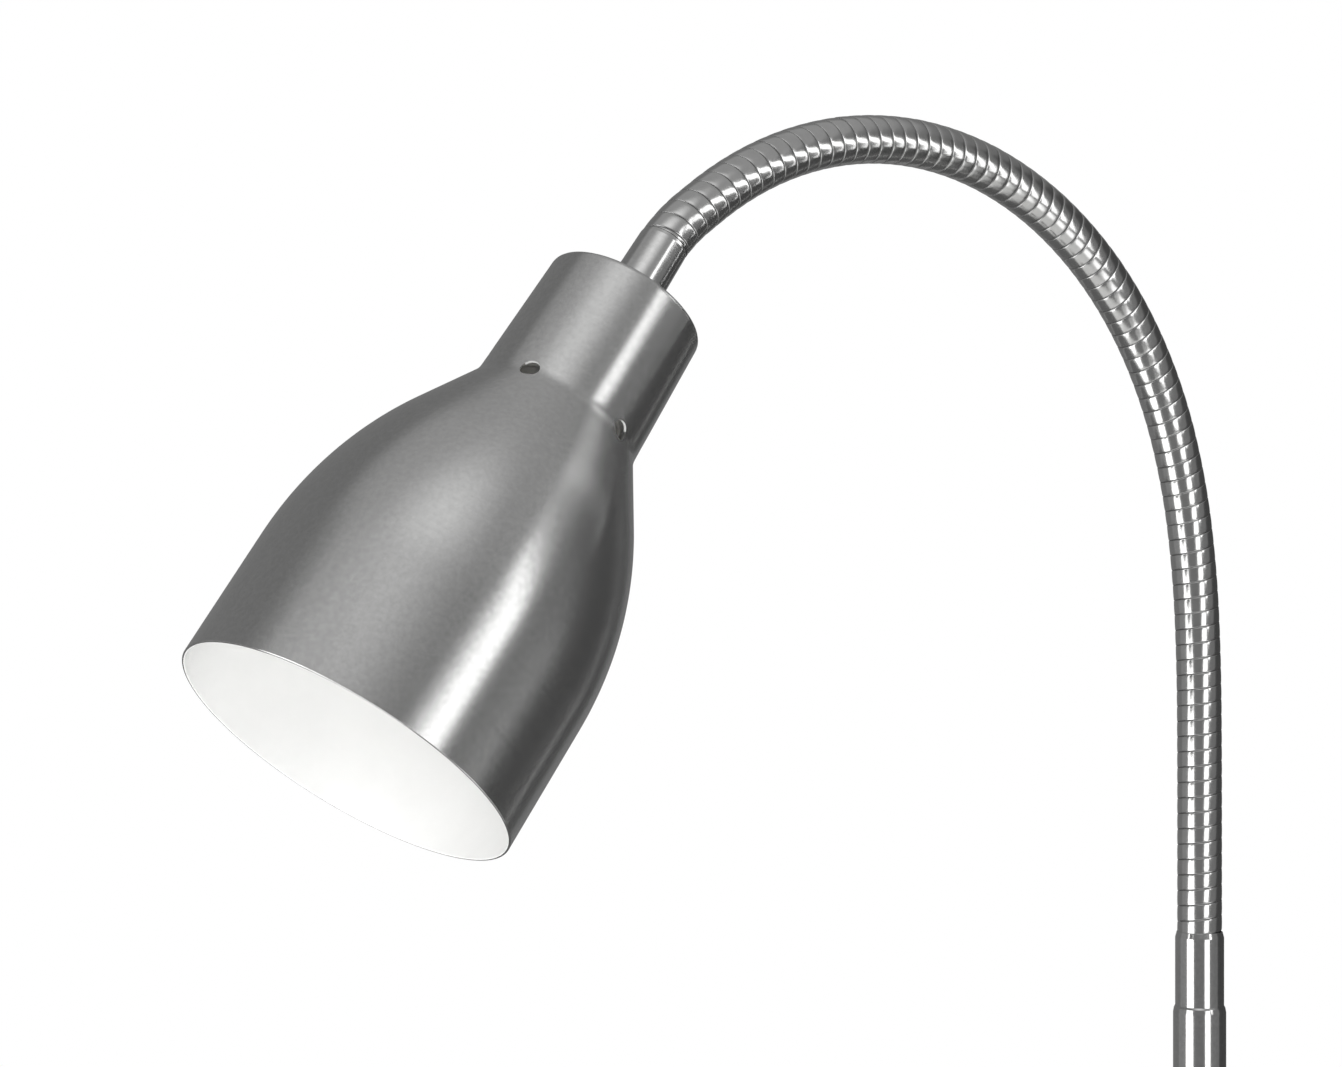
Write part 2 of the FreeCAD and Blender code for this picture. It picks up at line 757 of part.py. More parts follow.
def bulb_housing():
    """Flared plastic body between the cap and the diffuser."""
    neck, end = "housing_neck_od/2", DOME_EDGE
    outline = [
        (neck + " - housing_wall", BULB_CAP_TOP),
        (neck, BULB_CAP_TOP),
        (end, HOUSING_TOP),
        (end + " - housing_wall", HOUSING_TOP),
    ]
    return turned("bulb_housing", outline, HEAD)


def bulb_diffuser():
    """Frosted dome: it starts on the housing's edge and closes at the bulb's end."""
    outline = [
        (DOME_EDGE_IN, HOUSING_TOP),
        (DOME_EDGE, HOUSING_TOP, "-bulb_od/2"),
        ("0", BULB_END),
        ("0", BULB_END + " - diffuser_wall", "bulb_od/2 - diffuser_wall"),
    ]
    return turned("bulb_diffuser", outline, HEAD)


# ---------------------------------------------------------------- the whole lamp
def build():
    """Every sub-part of the lamp, from the floor up."""
    base = [base_cover(), base_weight(), base_pad(), base_grommet()] + base_fixing()
    pole = [pole_foot()] + pole_tubes() + [pole_joints(), pole_lead(), neck_sleeve()]
    head = [head_ferrule(), shade_shell()] + head_fixing()
    holder = [head_lead(), lampholder_cap(), lampholder_skirt(), lampholder_core(), lampholder_screw_shell(),
              lampholder_contact(), terminal_screws()]
    bulb = [bulb_cap()] + bulb_tip() + [bulb_housing(), bulb_diffuser()]
    return base + pole + neck() + head + holder + bulb


def check_sound(subparts):
    """Stop if any object failed, or any sub-part has no sound shape."""
    for item in doc.Objects:
        if "Invalid" in item.State or "Error" in item.State:
            raise RuntimeError("%s failed: %s" % (item.Label, item.State))
    for item in subparts:
        if item.Shape.isNull() or not item.Shape.isValid() or not item.Shape.Solids:
            raise RuntimeError("%s has no sound shape" % item.Label)


def write_parts(subparts):
    """One file for each sub-part."""
    for item in subparts:
        item.Shape.exportStep("parts/%s.step" % item.Label)


subparts = build()
doc.recompute()
check_sound(subparts)
write_parts(subparts)
print(len(subparts), "sub-parts, top of the neck at", round(max(p.Base.z for p in PLACES), 1))
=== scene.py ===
# %% [markdown]
# # A gooseneck reading lamp
#
# The lamp's sizes and joints are already settled in a imported model, which this
# lesson loads first and never changes. What is left to do here is the looks:
# turned and spun metal, a neck wound from a strip of steel, white enamel inside
# the shade, and a frosted bulb. Every piece is made where it belongs, in metres,
# and most are then told which body of the lamp they move with.

# %% Load the frame
import bmesh
import bpy
import json
import math
from mathutils import Euler, Matrix, Vector

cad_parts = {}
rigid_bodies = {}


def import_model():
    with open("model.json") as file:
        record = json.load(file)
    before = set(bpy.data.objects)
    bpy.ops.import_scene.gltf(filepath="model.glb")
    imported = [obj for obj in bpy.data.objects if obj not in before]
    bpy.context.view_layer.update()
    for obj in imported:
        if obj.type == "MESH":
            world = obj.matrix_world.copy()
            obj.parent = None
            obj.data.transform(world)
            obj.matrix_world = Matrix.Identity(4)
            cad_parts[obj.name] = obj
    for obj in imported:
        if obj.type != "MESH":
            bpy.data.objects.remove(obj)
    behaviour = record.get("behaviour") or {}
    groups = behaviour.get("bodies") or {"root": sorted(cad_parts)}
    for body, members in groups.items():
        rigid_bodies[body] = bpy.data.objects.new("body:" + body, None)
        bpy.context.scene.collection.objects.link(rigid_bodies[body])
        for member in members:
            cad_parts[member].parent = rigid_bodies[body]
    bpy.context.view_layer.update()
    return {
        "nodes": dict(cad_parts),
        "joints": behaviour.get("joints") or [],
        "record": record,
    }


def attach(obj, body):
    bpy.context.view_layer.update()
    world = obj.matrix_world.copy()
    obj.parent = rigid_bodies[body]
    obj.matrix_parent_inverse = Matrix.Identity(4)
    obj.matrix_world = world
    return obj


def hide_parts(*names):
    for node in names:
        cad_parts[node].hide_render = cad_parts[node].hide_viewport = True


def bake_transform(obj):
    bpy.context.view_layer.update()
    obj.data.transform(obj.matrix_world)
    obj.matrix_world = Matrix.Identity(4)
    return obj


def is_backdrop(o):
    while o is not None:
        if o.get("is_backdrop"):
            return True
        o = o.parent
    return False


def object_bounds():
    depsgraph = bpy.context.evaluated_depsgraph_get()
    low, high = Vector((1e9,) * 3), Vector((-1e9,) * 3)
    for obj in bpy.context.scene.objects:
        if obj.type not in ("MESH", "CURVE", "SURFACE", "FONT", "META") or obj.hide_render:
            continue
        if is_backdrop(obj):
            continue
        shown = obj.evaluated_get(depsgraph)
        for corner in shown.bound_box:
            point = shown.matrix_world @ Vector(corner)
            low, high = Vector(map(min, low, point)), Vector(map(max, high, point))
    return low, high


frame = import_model()
MM = 0.001
scene = bpy.context.scene

# %% [markdown]
# ## Where the neck and the head are
#
# The neck bends at fifteen hinges. Their places are in the frame, so nothing has
# to be measured again: a stretch of neck runs from each hinge to the next, and the
# slide of the bulb gives the head's own axis. A matrix that carries local heights
# along Z onto that axis is all a turned piece needs to be put in its place.

# %% Read the hinges
hinges = {joint["parent"]: joint for joint in frame["joints"] if joint["type"] == "hinge"}
bodies = ["stand"]
while bodies[-1] in hinges:
    bodies.append(hinges[bodies[-1]]["child"])
hinge_at = [Vector(hinges[body]["pos_m"]) for body in bodies[:-1]]
link_long = (hinge_at[1] - hinge_at[0]).length
slide = next(joint for joint in frame["joints"] if joint["type"] == "slide")
head_way = Vector(slide["axis"]).normalized()


def standing(point, way):
    """The matrix that stands a local Z axis at a point, along a way in the XZ plane."""
    return Matrix.Translation(point) @ Matrix.Rotation(math.atan2(way.x, way.z), 4, "Y")


HEAD = standing(hinge_at[-1], head_way)
print("hinges:", len(hinge_at), " link:", round(link_long*1000, 2), "mm  head way:", head_way)

# %% [markdown]
# ## Camera
#
# The picture that this lamp follows was taken close by and level with the neck, so
# the shade, which comes towards the lens, looks large. A long lens and a spot
# worked out from the widths of the pole and the shade give the same view again.

# %% Camera
PHOTO_WIDE = 1342
PHOTO_FOCAL = 3253
CAMERA_AT = Vector((-0.8903, -0.7899, 1.3203))
CAMERA_TURN = math.radians(-39.19)

camera_data = bpy.data.cameras.new("camera")
camera_data.sensor_width = 36
camera_data.lens = camera_data.sensor_width*PHOTO_FOCAL/PHOTO_WIDE
camera = bpy.data.objects.new("camera", camera_data)
camera.location = CAMERA_AT
camera.rotation_euler = Euler((math.radians(90), 0, CAMERA_TURN))
scene.collection.objects.link(camera)
scene.camera = camera
print("lens", round(camera_data.lens, 1), "mm")

# %% [markdown]
# ## Turned pieces
#
# Most of the lamp is round: it is drawn as half an outline and spun about its own
# axis, as the real pieces are on a lathe. The outline is a short list of corners
# in millimetres. A corner with a third number is rounded by that radius, because
# real edges are never quite sharp, and the small arc is what catches the light. A guard
# point just before and after each arc keeps its shading off the flat faces beside it:
# without those, a long tube would mirror the room as if it were a barrel.
#
# Each point of the outline also remembers how far along the outline it lies. The
# spin copies that number round the piece, and it becomes one direction of the UV
# map. The other direction runs round the axis, so a metal can be brushed along it.


# %% Outlines and the lathe
def rounded(corners):
    """The (radius, height) points of an outline whose corners may have a rounding radius."""
    points = []
    for index, corner in enumerate(corners):
        here = Vector(corner[:2])
        if len(corner) == 2:
            points.append(here)
            continue
        back = (Vector(corners[index - 1][:2]) - here).normalized()
        on = (Vector(corners[(index + 1) % len(corners)][:2]) - here).normalized()
        half = back.angle(on)/2
        centre = here + (back + on).normalized()*corner[2]/math.sin(half)
        first = here + back*corner[2]/math.tan(half) - centre
        last = here + on*corner[2]/math.tan(half) - centre
        sweep = math.atan2(first.x*last.y - first.y*last.x, first.dot(last))
        steps = 4 + int(corner[2]*abs(sweep)/2.5)
        guard = min(corner[2]/4, 1)
        points.append(centre + first + back*guard)
        points += [centre + Matrix.Rotation(sweep*step/steps, 2) @ first for step in range(steps + 1)]
        points.append(centre + last + on*guard)
    return points


def lathe(name, corners, place=Matrix(), steps=96, closed=True):
    """A solid of revolution about the local Z axis. An open outline starts and ends on the axis."""
    points = rounded(corners)
    maker = bmesh.new()
    along = maker.verts.layers.float.new("along")
    rim = []
    for index, point in enumerate(points):
        vert = maker.verts.new((point.x*MM, 0, point.y*MM))
        vert[along] = 0 if index == 0 else rim[-1][along] + (point - points[index - 1]).length
        rim.append(vert)
    pairs = list(zip(rim, rim[1:])) + ([(rim[-1], rim[0])] if closed else [])
    edges = [maker.edges.new(pair) for pair in pairs]
    bmesh.ops.spin(maker, geom=rim + edges, cent=(0, 0, 0), axis=(0, 0, 1), angle=math.tau, steps=steps,
                   use_merge=True)
    bmesh.ops.remove_doubles(maker, verts=maker.verts, dist=1e-7)
    bmesh.ops.recalc_face_normals(maker, faces=maker.faces)
    unwrap(maker, along)
    return finished(name, maker, place)


def unwrap(maker, along):
    """A UV map with U along the outline and V round the axis, closed without a jump."""
    uv = maker.loops.layers.uv.new("turned")
    for face in maker.faces:
        middle = face.calc_center_median()
        turn = math.atan2(middle.y, middle.x)
        for loop in face.loops:
            spot = loop.vert.co
            own = math.atan2(spot.y, spot.x) if spot.xy.length > 1e-6 else turn
            own -= math.tau*round((own - turn)/math.tau)
            loop[uv].uv = (loop.vert[along]*MM*10, own/math.tau)


def finished(name, maker, place=Matrix(), crisp=35):
    """The object made from a bmesh. Edges that turn more than crisp degrees stay sharp."""
    for face in maker.faces:
        face.smooth = True
    for edge in maker.edges:
        edge.smooth = len(edge.link_faces) != 2 or edge.calc_face_angle(0) < math.radians(crisp)
    mesh = bpy.data.meshes.new(name)
    maker.to_mesh(mesh)
    maker.free()
    mesh.transform(place)
    piece = bpy.data.objects.new(name, mesh)
    scene.collection.objects.link(piece)
    return piece


def mounted(piece, body, slot, nodes, *materials):
    """The piece rides on a body, stands for CAD nodes and gets its materials."""
    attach(piece, body)
    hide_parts(*nodes)
    for material in materials:
        piece.data.materials.append(material)


print("lathe ready")

# %% [markdown]
# ## Shader groups
#
# Two effects come back in many finishes, so each is a node group that is made once.
# `fine lines` gives the faint rings that a belt or a lathe tool leaves: noise that
# is stretched round the axis, read from the UV map. `handled` gives the slow, cloudy
# change that every surface has once it has been touched and wiped. Groups put out
# only numbers, and the shader itself stays in each material.


# %% Node helpers
def new_group(name, inputs, outputs):
    """An empty shader node group, its inputs as (name, default) and its outputs by name."""
    group = bpy.data.node_groups.new(name, "ShaderNodeTree")
    for label, default in inputs:
        socket = group.interface.new_socket(label, in_out="INPUT", socket_type="NodeSocketFloat")
        socket.default_value = default
    for label in outputs:
        group.interface.new_socket(label, in_out="OUTPUT", socket_type="NodeSocketFloat")
    return group, group.nodes.new("NodeGroupInput"), group.nodes.new("NodeGroupOutput")


def fine_lines_group():
    """Rings round a turned piece. U of the UV map runs along it, in tenths of a metre."""
    group, given, out = new_group("fine lines", [("Fineness", 60.0), ("Streak", 3.0)], ["Value"])
    nodes, links = group.nodes, group.links
    uv = nodes.new("ShaderNodeUVMap")
    uv.uv_map = "turned"
    split = nodes.new("ShaderNodeSeparateXYZ")
    across = nodes.new("ShaderNodeMath")
    across.operation = "MULTIPLY"
    round_it = nodes.new("ShaderNodeMath")
    round_it.operation = "MULTIPLY"
    join = nodes.new("ShaderNodeCombineXYZ")
    noise = nodes.new("ShaderNodeTexNoise")
    noise.inputs["Scale"].default_value = 1
    noise.inputs["Detail"].default_value = 4
    noise.inputs["Roughness"].default_value = 0.65
    links.new(uv.outputs["UV"], split.inputs[0])
    links.new(split.outputs["X"], across.inputs[0])
    links.new(given.outputs["Fineness"], across.inputs[1])
    links.new(split.outputs["Y"], round_it.inputs[0])
    links.new(given.outputs["Streak"], round_it.inputs[1])
    links.new(across.outputs[0], join.inputs["X"])
    links.new(round_it.outputs[0], join.inputs["Y"])
    links.new(join.outputs[0], noise.inputs["Vector"])
    links.new(noise.outputs["Fac"], out.inputs["Value"])
    return group


def handled_group():
    """Slow, cloudy change over a surface, from 0 to 1, in object space."""
    group, given, out = new_group("handled", [("Scale", 18.0)], ["Value"])
    nodes, links = group.nodes, group.links
    spot = nodes.new("ShaderNodeTexCoord")
    noise = nodes.new("ShaderNodeTexNoise")
    noise.inputs["Detail"].default_value = 5
    noise.inputs["Roughness"].default_value = 0.6
    links.new(spot.outputs["Object"], noise.inputs["Vector"])
    links.new(given.outputs["Scale"], noise.inputs["Scale"])
    links.new(noise.outputs["Fac"], out.inputs["Value"])
    return group


FINE_LINES = fine_lines_group()
HANDLED = handled_group()


class Finish:
    """A material under way: its shader, and short ways to place nodes that feed it."""

    def __init__(self, name, color, roughness=0.5, metallic=0.0, **constants):
        self.material = bpy.data.materials.new(name)
        self.material.use_nodes = True
        self.nodes, self.links = self.material.node_tree.nodes, self.material.node_tree.links
        self.shader = self.nodes["Principled BSDF"]
        self.set(**{"Base Color": (*color, 1), "Roughness": roughness, "Metallic": metallic}, **constants)
        self.material.diffuse_color = (*color, 1)

    def set(self, **constants):
        for socket, value in constants.items():
            self.shader.inputs[socket.replace("_", " ")].default_value = value

    def group(self, group, **values):
        node = self.nodes.new("ShaderNodeGroup")
        node.node_tree = group
        for socket, value in values.items():
            node.inputs[socket].default_value = value
        return node.outputs["Value"]

    def ranged(self, value, low, high, start=0.3, end=0.7):
        """A value spread from low to high."""
        node = self.nodes.new("ShaderNodeMapRange")
        node.inputs["From Min"].default_value = start
        node.inputs["From Max"].default_value = end
        node.inputs["To Min"].default_value = low
        node.inputs["To Max"].default_value = high
        self.links.new(value, node.inputs["Value"])
        return node.outputs["Result"]

    def blended(self, factor, first, second):
        """One colour turning into another with a factor."""
        node = self.nodes.new("ShaderNodeMix")
        node.data_type = "RGBA"
        node.inputs[6].default_value = (*first, 1)
        if isinstance(second, tuple):
            node.inputs[7].default_value = (*second, 1)
        else:
            self.links.new(second, node.inputs[7])
        self.links.new(factor, node.inputs[0])
        return node.outputs[2]

    def feed(self, socket, value):
        self.links.new(value, self.shader.inputs[socket])

    def bumped(self, height, depth):
        """Relief from a height between 0 and 1, depth metres deep."""
        node = self.nodes.new("ShaderNodeBump")
        node.inputs["Distance"].default_value = depth
        node.inputs["Strength"].default_value = 1.0
        self.links.new(height, node.inputs["Height"])
        self.feed("Normal", node.outputs["Normal"])


print("groups:", [group.name for group in bpy.data.node_groups])

# %% [markdown]
# ## Satin nickel
#
# Pole, neck, shade and base are plated with nickel and brushed round and round, so a
# highlight is drawn out along the piece and stays narrow across it. The shader's
# Anisotropic value does that, with a tangent that follows the UV map's long way. The
# brushing itself is too fine to see from afar, so its lines only nudge the roughness,
# and a bump of less than a micron breaks the highlight up close by. A cloudy and a
# speckled noise keep the colour from being flat.


# %% Satin nickel
def satin_nickel(name, color, roughness, anisotropy, spread=0.03, lines=4e-7):
    """Plated metal, brushed round the axis."""
    finish = Finish(name, color, roughness, 1.0, Anisotropic=anisotropy)
    tangent = finish.nodes.new("ShaderNodeTangent")
    tangent.direction_type = "UV_MAP"
    tangent.uv_map = "turned"
    finish.feed("Tangent", tangent.outputs["Tangent"])
    rings = finish.group(FINE_LINES, Fineness=220.0, Streak=2.0)
    cloud = finish.group(HANDLED, Scale=14.0)
    speckle = finish.group(HANDLED, Scale=620.0)
    darker, lighter = tuple(part*0.90 for part in color), tuple(part*1.06 for part in color)
    wiped = finish.blended(finish.ranged(cloud, 0, 1), color, lighter)
    finish.feed("Base Color", finish.blended(finish.ranged(speckle, 0, 1), darker, wiped))
    finish.feed("Roughness", finish.ranged(rings, roughness - spread, roughness + spread))
    finish.bumped(rings, lines)
    return finish.material


NICKEL = (0.60, 0.60, 0.595)
TUBE_NICKEL = satin_nickel("satin nickel tube", NICKEL, 0.17, 0.55)
SPUN_NICKEL = satin_nickel("satin nickel spun", NICKEL, 0.25, 0.9, 0.02, 5e-7)
print("nickel ready")

# %% [markdown]
# ## Paints, plastics and rubber
#
# The inside of the shade is sprayed white, so that it throws the light out. Sprayed
# paint is never dead flat: a very shallow, fine bump gives its slight orange peel.
# Moulded plastic, rubber, foam and cast iron are made the same way, each with its own
# depth and fineness of grain.


# %% Paints, plastics and rubber
def moulded(name, color, roughness, peel, scale=600.0, **constants):
    """A paint, plastic or rubber with a fine grain of its own and a cloudy sheen."""
    finish = Finish(name, color, roughness, **constants)
    cloud = finish.group(HANDLED, Scale=25.0)
    grain = finish.group(HANDLED, Scale=scale)
    darker = tuple(part*0.93 for part in color)
    finish.feed("Base Color", finish.blended(finish.ranged(cloud, 0, 1), darker, color))
    finish.feed("Roughness", finish.ranged(grain, roughness*0.85, min(roughness*1.15, 1)))
    finish.bumped(grain, peel)
    return finish.material


ENAMEL = moulded("white enamel", (0.90, 0.90, 0.89), 0.45, 2e-5, 900.0)
PAD = moulded("foam pad", (0.035, 0.035, 0.037), 0.92, 1.2e-4, 1400.0)
RUBBER = moulded("grommet rubber", (0.02, 0.02, 0.021), 0.6, 3e-5, 900.0)
SHEATH = moulded("lead sheath", (0.62, 0.62, 0.60), 0.45, 1e-5, 700.0)
HOLDER_PLASTIC = moulded("lampholder plastic", (0.80, 0.79, 0.76), 0.38, 1e-5, 800.0)
CERAMIC = moulded("core ceramic", (0.78, 0.76, 0.72), 0.3, 1e-5, 500.0)
BULB_PLASTIC = moulded("bulb housing plastic", (0.86, 0.86, 0.85), 0.33, 8e-6, 700.0)
CAST_IRON = moulded("cast iron", (0.10, 0.095, 0.09), 0.75, 2e-4, 700.0, metallic=0.6)
print("paints ready")

# %% [markdown]
# ## Small metals and the bulb
#
# Zinc, brass and the bulb's own cap are plain bright metals that have lost a little
# of their shine in patches. The bulb's dome is frosted plastic that lets light
# wander inside it, which subsurface scattering stands for. The black disc under the
# cap is glass, glossy and almost without colour.


# %% Small metals and the bulb
def dulled_metal(name, color, roughness, tarnish):
    """A bright metal whose colour and shine wander."""
    finish = Finish(name, color, roughness, 1.0)
    cloud = finish.group(HANDLED, Scale=160.0)
    spread = finish.ranged(cloud, 0, 1)
    finish.feed("Base Color", finish.blended(spread, color, tarnish))
    finish.feed("Roughness", finish.ranged(cloud, roughness*0.8, roughness*1.35))
    finish.bumped(finish.group(HANDLED, Scale=2500.0), 6e-6)
    return finish.material


ZINC = dulled_metal("zinc plate", (0.62, 0.64, 0.66), 0.32, (0.48, 0.50, 0.50))
BRASS = dulled_metal("brass", (0.78, 0.60, 0.30), 0.28, (0.60, 0.43, 0.20))
BULB_METAL = dulled_metal("bulb cap metal", (0.74, 0.73, 0.70), 0.24, (0.60, 0.59, 0.56))
FROST = moulded("frosted dome", (0.93, 0.93, 0.92), 0.5, 1.5e-5, 1200.0, Subsurface_Weight=0.35,
                Subsurface_Scale=0.004)
BLACK_GLASS = moulded("black glass", (0.012, 0.012, 0.014), 0.12, 2e-6, 300.0)
print("materials so far:", len(bpy.data.materials))

# %% [markdown]
# ## Cutting holes
#
# A hole in a round wall is the one shape that a lathe can't turn. It is cut with a
# boolean, and the result is read back as a mesh of its own, so the cutters can go.


# %% Cutting holes
def pierced(piece, cutters, crisp=35):
    """The piece with the cutters' shapes taken out of it, and its sharp edges marked anew."""
    for cutter in cutters:
        hole = piece.modifiers.new("hole", "BOOLEAN")
        hole.operation = "DIFFERENCE"
        hole.solver = "EXACT"
        hole.object = cutter
    bpy.context.view_layer.update()
    shaped = piece.evaluated_get(bpy.context.evaluated_depsgraph_get())
    maker = bmesh.new()
    maker.from_mesh(shaped.to_mesh())
    name = piece.name
    for used in cutters + [piece]:
        bpy.data.objects.remove(used)
    return finished(name, maker, crisp=crisp)


print("holes can be cut")

# %% [markdown]
# ## The base
#
# The base is a shell spun from thin sheet over a cast weight, with a foam disc
# underneath. Its shoulder is one wide, soft radius and its lower edge has only a
# fine one. At the back a rubber bush takes the cord.

# %% The base
BASE_R, BASE_TOP, BASE_LOW, SHEET = 120, 19, 1, 1
COVER_HOLE_R = 5.2
PAD_R, PAD_TOP = 118.5, 3
CORD_UP, CORD_HOLE_R = 7, 3.85
BUSH_BORE, BUSH_NECK_R, BUSH_LIP_R, BUSH_LIP = 2.6, 3.8, 5, 1.2
SMALL_STEPS, WIDE_STEPS = 48, 192
cover = lathe("base_cover_shell", [
    (COVER_HOLE_R, BASE_TOP - SHEET), (BASE_R - 6, BASE_TOP - SHEET, 5), (BASE_R - SHEET, 1.2),
    (119.2, BASE_LOW), (BASE_R, BASE_LOW, 0.3), (BASE_R, BASE_TOP, 6), (COVER_HOLE_R, BASE_TOP)], steps=256)
GROMMET = Matrix.Translation((BASE_R*MM, 0, CORD_UP*MM)) @ Matrix.Rotation(math.radians(90), 4, "Y")
cord_hole = lathe("cord_hole", [(0, -4), (CORD_HOLE_R, -4), (CORD_HOLE_R, 4), (0, 4)], GROMMET,
                  SMALL_STEPS, closed=False)
cover = pierced(cover, [cord_hole])
mounted(cover, "stand", "satin_nickel", ["base_cover"], SPUN_NICKEL)
pad = lathe("base_foam_pad", [(0, 0), (PAD_R, 0, 0.8), (PAD_R, PAD_TOP, 0.4), (0, PAD_TOP)],
            steps=WIDE_STEPS, closed=False)
mounted(pad, "stand", "soft_pad", ["base_pad"], PAD)
bush = lathe("cord_bush", [
    (BUSH_BORE, -5, 0.3), (BUSH_NECK_R, -5, 0.3), (BUSH_NECK_R, 0), (BUSH_LIP_R, 0, 0.2),
    (BUSH_LIP_R, BUSH_LIP, 0.5), (BUSH_BORE, BUSH_LIP, 0.5)], GROMMET, SMALL_STEPS)
mounted(bush, "stand", "grommet_rubber", ["cord_grommet"], RUBBER)
print("base cover faces:", len(cover.data.polygons))

# %% [markdown]
# ## The pole and its sleeve
#
# The pole comes in three lengths of tube that screw end to end, so each has a fine
# edge that shows as a hairline. A turned collar seats it on the base. At its top the
# tube is drawn in a little over the sleeve, and the sleeve ends in a bevel where the
# neck comes out.

# %% The pole and its sleeve
FOOT_TOP, FOOT_R, ROD_HOLE_R, SPIGOT_TOP = 24, 19, 5.05, 52
POLE_TOP, POLE_R, POLE_BORE = 1150, 9.5, 8.8
SLEEVE_LOW, SLEEVE_TOP, SLEEVE_R, SLEEVE_BORE = 1110, 1176.7, 8.75, 5.5
foot = lathe("pole_collar", [
    (ROD_HOLE_R, BASE_TOP), (FOOT_R, BASE_TOP, 0.3), (FOOT_R, FOOT_TOP, 1.4), (11.5, FOOT_TOP, 0.4),
    (11, 23.7), (SLEEVE_R, 23.7), (SLEEVE_R, SPIGOT_TOP), (ROD_HOLE_R, SPIGOT_TOP)])
mounted(foot, "stand", "satin_nickel", ["pole_foot"], SPUN_NICKEL)
section_long = (POLE_TOP - FOOT_TOP)/3
for number in range(3):
    low, top = FOOT_TOP + number*section_long, FOOT_TOP + (number + 1)*section_long
    if number == 2:
        upper = [(POLE_R, top - 2.4, 3), (POLE_R - 0.3, top - 0.7, 0.6), (POLE_R - 0.68, top)]
    else:
        upper = [(POLE_R, top - 0.3, 0.2), (POLE_R - 0.3, top)]
    lower = [(POLE_BORE, low), (POLE_R - 0.3, low), (POLE_R, low + 0.3, 0.2)]
    tube = lathe("pole_tube_%d" % (number + 1), lower + upper + [(POLE_BORE, top)])
    mounted(tube, "stand", "satin_nickel", ["pole_section_%d" % (number + 1)], TUBE_NICKEL)
sleeve = lathe("neck_sleeve_tube", [
    (SLEEVE_BORE, SLEEVE_LOW), (SLEEVE_R, SLEEVE_LOW, 0.3), (SLEEVE_R, SLEEVE_TOP - 2.1, 0.8),
    (8.2, SLEEVE_TOP, 0.2), (8.05, SLEEVE_TOP), (8.05, 1170), (SLEEVE_BORE, 1170)])
mounted(sleeve, "stand", "satin_nickel", ["neck_sleeve"], TUBE_NICKEL)
print("pole sections of", round(section_long, 1), "mm")

# %% [markdown]
# ## The neck
#
# A gooseneck is one steel strip wound into a tube: each turn grips the last, so the
# neck bends anywhere and stays where it is put. Here the strip's own section is
# drawn once, a low crown with rounded edges, and spun with a step along the axis
# each time, which makes a screw. Six turns lie on each link of the moving model.
#
# The model bends in straight links, but a neck is a smooth curve. So each stretch
# runs from the middle of one link to the middle of the next, across one hinge, and
# is laid along an arc that is tangent to both links. Its ends then point the same
# way as the next stretch begins, at rest.


# %% The strip and its path
TURNS = 3
NECK_R, NECK_BORE = 8.0, 5.8
ROUND_STEPS = 64


def strip_section(pitch):
    """The strip's closed section over one pitch, as (radius, distance along) in millimetres."""
    edge = [(7.72, 0.02), (7.76, 0.06), (7.87, 0.13), (7.935, 0.45), (7.98, 1.40)]
    crown = [(NECK_R, pitch/2)]
    back = [(radius, pitch - across) for radius, across in reversed(edge)]
    return edge + crown + back + [(NECK_BORE, pitch - 0.02), (NECK_BORE, 0.02)]


def arc_path(hinge, before, after, reach):
    """A function giving spot and direction at a length along a bend, and the whole length of the bend."""
    inward = (hinge - before).normalized()
    onward = (after - hinge).normalized()
    bend = inward.angle(onward)
    half = link_long/2
    start = hinge - inward*half
    straight = half - reach
    if bend < 1e-4:
        return lambda long: (start + inward*long, inward), 2*half
    sideways = (onward - inward*onward.dot(inward)).normalized()
    radius = reach/math.tan(bend/2)
    curve = radius*bend

    def spot(long):
        if long < straight:
            return start + inward*long, inward
        if long > straight + curve:
            return hinge + onward*(reach + long - straight - curve), onward
        turn = (long - straight)/radius
        sink = inward*math.sin(turn) + sideways*(1 - math.cos(turn))
        return hinge - inward*reach + sink*radius, inward*math.cos(turn) + sideways*math.sin(turn)

    return spot, 2*straight + curve


def wound(spot, start, long, turns):
    """Turns of the strip from a start, over a length, laid along the path that spot gives."""
    pitch = long/turns
    maker = bmesh.new()
    across = maker.verts.layers.float.new("across")
    section = strip_section(pitch*1000)
    rim = []
    for radius, down in section:
        vert = maker.verts.new((radius*MM, 0, down*MM))
        vert[across] = down/(pitch*1000)
        rim.append(vert)
    edges = [maker.edges.new(pair) for pair in zip(rim, rim[1:] + rim[:1])]
    steps = round(turns*ROUND_STEPS)
    swept = bmesh.ops.spin(maker, geom=rim + edges, cent=(0, 0, 0), axis=(0, 0, 1),
                           dvec=(0, 0, long/steps), angle=math.tau*turns, steps=steps)
    last = [item for item in swept["geom_last"] if isinstance(item, bmesh.types.BMEdge)]
    bmesh.ops.edgeloop_fill(maker, edges=edges)
    bmesh.ops.edgeloop_fill(maker, edges=last)
    bmesh.ops.recalc_face_normals(maker, faces=maker.faces)
    uv = maker.loops.layers.uv.new("turned")
    for face in maker.faces:
        middle = face.calc_center_median()
        turn = math.atan2(middle.y, middle.x)
        for loop in face.loops:
            own = math.atan2(loop.vert.co.y, loop.vert.co.x)
            own -= math.tau*round((own - turn)/math.tau)
            loop[uv].uv = (loop.vert[across], own/math.tau)
    for vert in maker.verts:
        centre, way = spot(start + vert.co.z)
        side = Vector((0, 1, 0)).cross(way)
        vert.co = centre + side*vert.co.x + Vector((0, vert.co.y, 0))
    return maker


print("turns to a link:", 2*TURNS)
